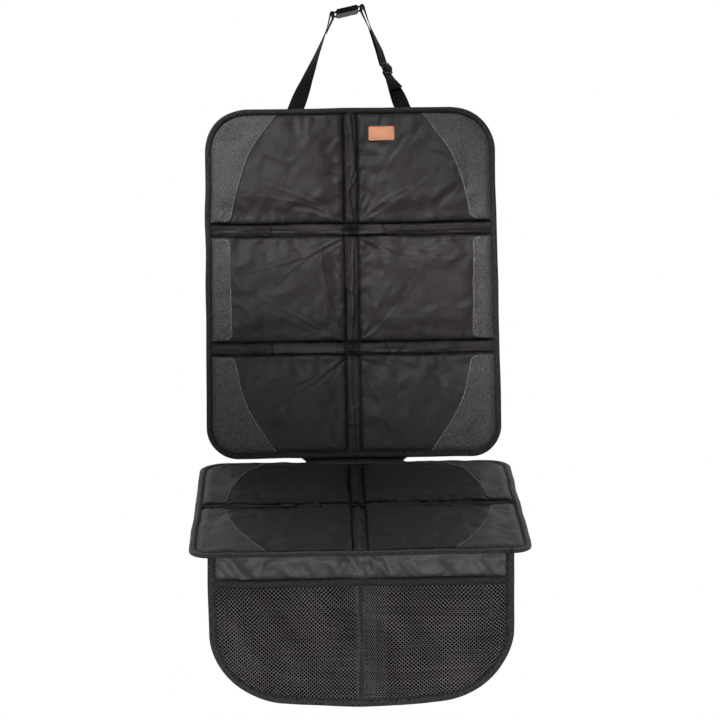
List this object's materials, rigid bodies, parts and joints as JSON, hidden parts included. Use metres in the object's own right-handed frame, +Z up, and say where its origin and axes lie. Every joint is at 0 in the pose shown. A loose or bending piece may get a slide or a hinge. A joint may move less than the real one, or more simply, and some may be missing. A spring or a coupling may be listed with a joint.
{
  "type": "car seat protector",
  "caption": "Quilted car seat protector with a padded back and seat section, a hanging flap with net pockets and a buckled headrest strap.",
  "frame": {"origin": "centre of the seat section's flat underside", "axes": "+X across the seat, +Y towards the back section, +Z up; the quilted face looks towards -Y and +Z and the flap hangs below z = 0"},
  "size_m": [0.485, 0.7205, 0.9282],
  "materials": {
    "face_cloth": "satin",
    "leatherette": "grained",
    "backing": "matte",
    "foam": "matte",
    "tape": "satin",
    "flap_cloth": "satin",
    "net": "satin",
    "webbing": "matte",
    "plastic": "satin",
    "tab_leather": "satin"
  },
  "bodies": {
    "root": {"seat_cover": "face_cloth", "seat_backing": "backing", "seat_binding": "tape", "seat_foam_1": "foam", "seat_patch_1": "leatherette", "seat_foam_2": "foam", "seat_patch_2": "leatherette", "seat_foam_3": "foam", "seat_patch_3": "leatherette", "seat_foam_4": "foam", "seat_patch_4": "leatherette", "back_cover": "face_cloth", "back_backing": "backing", "back_binding": "tape", "back_foam_1": "foam", "back_patch_1": "leatherette", "back_foam_2": "foam", "back_patch_2": "leatherette", "back_foam_3": "foam", "back_patch_3": "leatherette", "back_foam_4": "foam", "back_patch_4": "leatherette", "back_foam_5": "foam", "back_patch_5": "leatherette", "back_foam_6": "foam", "back_patch_6": "leatherette", "leather_tab": "tab_leather", "neck_strip": "face_cloth", "flap_cloth": "flap_cloth", "flap_binding": "tape", "pocket_hem": "tape", "pocket_net": "net", "strap_left": "webbing", "strap_right": "webbing", "buckle_socket": "plastic", "buckle_plug": "plastic", "strap_slider": "plastic"}
  },
  "joints": []
}
